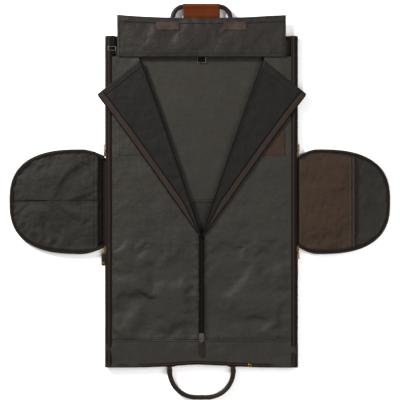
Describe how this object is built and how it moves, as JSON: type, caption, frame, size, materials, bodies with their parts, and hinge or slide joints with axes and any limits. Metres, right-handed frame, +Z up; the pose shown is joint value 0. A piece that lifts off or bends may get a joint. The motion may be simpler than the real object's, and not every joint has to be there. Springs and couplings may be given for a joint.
{
  "type": "garment bag",
  "caption": "Convertible garment bag laid open: zipped front covers with folded lapels, top flap, two D-shaped end caps and two rolled handles; folds up into a duffel.",
  "frame": {"origin": "centre of the footprint of the open bag, at the underside", "axes": "+X across the bag towards the right end cap, +Y along the bag towards the top flap, +Z up out of the open bag"},
  "size_m": [1.1186, 1.17, 0.0201],
  "materials": {
    "shell_canvas": "waxed twill, matt",
    "lining": "woven lining, low sheen",
    "cover": "woven lining fabric, low sheen",
    "lapel": "dark coated twill, matt",
    "binding": "dark brown ribbed tape",
    "pocket": "brushed brown fabric, matt",
    "hook_loop": "woven hook and loop",
    "webbing": "black webbing",
    "board": "dull sheet",
    "handle": "dark rolled leather",
    "grip": "tan pull-up leather",
    "tab": "dark leather",
    "zip_teeth": "dark nickel zip on dark tape",
    "brass": "polished brass",
    "steel": "polished nickel"
  },
  "bodies": {
    "base": {"base_shell": "shell_canvas", "base_board": "board", "base_lining": "lining", "cover_left_base": "cover", "cover_right_base": "cover", "base_side_strips": "binding", "centre_zip_base": "zip_teeth"},
    "upper": {"upper_shell": "shell_canvas", "upper_lining": "lining", "cover_left_upper": "cover", "cover_right_upper": "cover", "cover_pockets": "pocket", "side_zips_upper": "binding", "flap_seam_tape": "binding", "top_binding": "binding", "hanger_tab": "webbing", "corner_strap": "webbing", "top_handle_tabs": "tab"},
    "lower": {"lower_shell": "shell_canvas", "lower_lining": "lining", "cover_left_lower": "cover", "cover_right_lower": "cover", "side_zips_lower": "binding", "centre_zip_lower": "zip_teeth", "bottom_facing": "lining", "bottom_binding": "binding", "bottom_handle_tabs": "tab"},
    "lapel_left_top": {"lapel_left_upper": "lapel"},
    "lapel_left_foot": {"lapel_left_lower": "lapel"},
    "lapel_right_top": {"lapel_right_upper": "lapel"},
    "lapel_right_foot": {"lapel_right_lower": "lapel"},
    "flap": {"top_flap": "cover", "flap_patches": "hook_loop"},
    "cap_left": {"cap_left_shell": "shell_canvas", "cap_left_rim": "binding", "cap_left_pocket": "lining"},
    "cap_right": {"cap_right_shell": "shell_canvas", "cap_right_rim": "binding", "cap_right_lining": "lining", "cap_right_pocket": "pocket"},
    "handle_top": {"top_handle": "handle", "handle_grip": "grip"},
    "handle_bottom": {"bottom_handle": "handle"},
    "slider_centre": {"centre_slider": "steel"},
    "pull_centre": {"centre_pull_link": "steel", "centre_pull_leather": "tab"},
    "slider_lu": {"slider_left_upper": "brass"},
    "slider_ll": {"slider_left_lower": "brass"},
    "slider_ru": {"slider_right_upper": "brass"},
    "slider_rl": {"slider_right_lower": "brass"},
    "pull_lu": {"pull_left_upper": "brass"},
    "pull_ll": {"pull_left_lower_eye": "brass", "pull_left_lower_tab": "tab"},
    "pull_ru": {"pull_right_upper": "brass"},
    "pull_rl": {"pull_right_lower": "brass"},
    "ring_hanger": {"hanger_ring": "steel"},
    "ring_corner": {"corner_ring": "steel"}
  },
  "joints": [
    {"name": "fold_upper", "type": "hinge", "parent": "base", "child": "upper", "pos_m": [0, 0.13, 0.018], "axis": [1, 0, 0], "range_deg": [0, 80]},
    {"name": "fold_lower", "type": "hinge", "parent": "base", "child": "lower", "pos_m": [0, -0.13, 0.018], "axis": [-1, 0, 0], "range_deg": [0, 80]},
    {"name": "cap_left_fold", "type": "hinge", "parent": "base", "child": "cap_left", "pos_m": [-0.2835, 0, 0.018], "axis": [0, 1, 0], "range_deg": [0, 90]},
    {"name": "cap_right_fold", "type": "hinge", "parent": "base", "child": "cap_right", "pos_m": [0.2835, 0, 0.018], "axis": [0, -1, 0], "range_deg": [0, 90]},
    {"name": "lapel_left", "type": "hinge", "parent": "upper", "child": "lapel_left_top", "pos_m": [-0.183, 0.417, 0.01475], "axis": [0.328, -0.9447, 0], "range_deg": [-180, 0]},
    {"name": "lapel_left_bend", "type": "hinge", "parent": "lapel_left_top", "child": "lapel_left_foot", "pos_m": [0, 0.13, 0.018], "axis": [1, 0, 0], "range_deg": [-80, 0]},
    {"name": "lapel_right", "type": "hinge", "parent": "upper", "child": "lapel_right_top", "pos_m": [0.183, 0.417, 0.01475], "axis": [0.328, 0.9447, 0], "range_deg": [-180, 0]},
    {"name": "lapel_right_bend", "type": "hinge", "parent": "lapel_right_top", "child": "lapel_right_foot", "pos_m": [0, 0.13, 0.018], "axis": [1, 0, 0], "range_deg": [-80, 0]},
    {"name": "flap_fold", "type": "hinge", "parent": "upper", "child": "flap", "pos_m": [0, 0.431, 0.0185], "axis": [-1, 0, 0], "range_deg": [-176, 0]},
    {"name": "swing_top_handle", "type": "hinge", "parent": "upper", "child": "handle_top", "pos_m": [0, 0.4975, 0.0085], "axis": [-1, 0, 0], "range_deg": [0, 90]},
    {"name": "swing_bottom_handle", "type": "hinge", "parent": "lower", "child": "handle_bottom", "pos_m": [0, -0.4975, 0.0085], "axis": [-1, 0, 0], "range_deg": [0, 90]},
    {"name": "slide_centre", "type": "slide", "parent": "lower", "child": "slider_centre", "axis": [0, -1, 0], "range_m": [-0.255, 0]},
    {"name": "swing_centre_pull", "type": "hinge", "parent": "slider_centre", "child": "pull_centre", "pos_m": [0, -0.4085, 0.0182], "axis": [-1, 0, 0], "range_deg": [0, 160]},
    {"name": "swing_hanger_ring", "type": "hinge", "parent": "upper", "child": "ring_hanger", "pos_m": [0, 0.4256, 0.0078], "axis": [-1, 0, 0], "range_deg": [0, 80]},
    {"name": "swing_corner_ring", "type": "hinge", "parent": "upper", "child": "ring_corner", "pos_m": [-0.264, 0.457, 0.0156], "axis": [-1, 0, 0], "range_deg": [0, 70]},
    {"name": "slide_lu", "type": "slide", "parent": "upper", "child": "slider_lu", "axis": [0, 1, 0], "range_m": [0, 0.33]},
    {"name": "swing_pull_lu", "type": "hinge", "parent": "slider_lu", "child": "pull_lu", "pos_m": [-0.286, 0.15, 0.009], "axis": [1, 0, 0], "range_deg": [0, 90]},
    {"name": "slide_ll", "type": "slide", "parent": "lower", "child": "slider_ll", "axis": [0, -1, 0], "range_m": [0, 0.33]},
    {"name": "swing_pull_ll", "type": "hinge", "parent": "slider_ll", "child": "pull_ll", "pos_m": [-0.286, -0.15, 0.009], "axis": [-1, 0, 0], "range_deg": [0, 90]},
    {"name": "slide_ru", "type": "slide", "parent": "upper", "child": "slider_ru", "axis": [0, 1, 0], "range_m": [0, 0.33]},
    {"name": "swing_pull_ru", "type": "hinge", "parent": "slider_ru", "child": "pull_ru", "pos_m": [0.286, 0.15, 0.009], "axis": [1, 0, 0], "range_deg": [0, 90]},
    {"name": "slide_rl", "type": "slide", "parent": "lower", "child": "slider_rl", "axis": [0, -1, 0], "range_m": [0, 0.33]},
    {"name": "swing_pull_rl", "type": "hinge", "parent": "slider_rl", "child": "pull_rl", "pos_m": [0.286, -0.15, 0.009], "axis": [-1, 0, 0], "range_deg": [0, 90]}
  ],
  "couplings": [
    {"joint": "lapel_left_bend", "follows": "fold_upper", "ratio": -1},
    {"joint": "lapel_right_bend", "follows": "fold_upper", "ratio": -1}
  ]
}
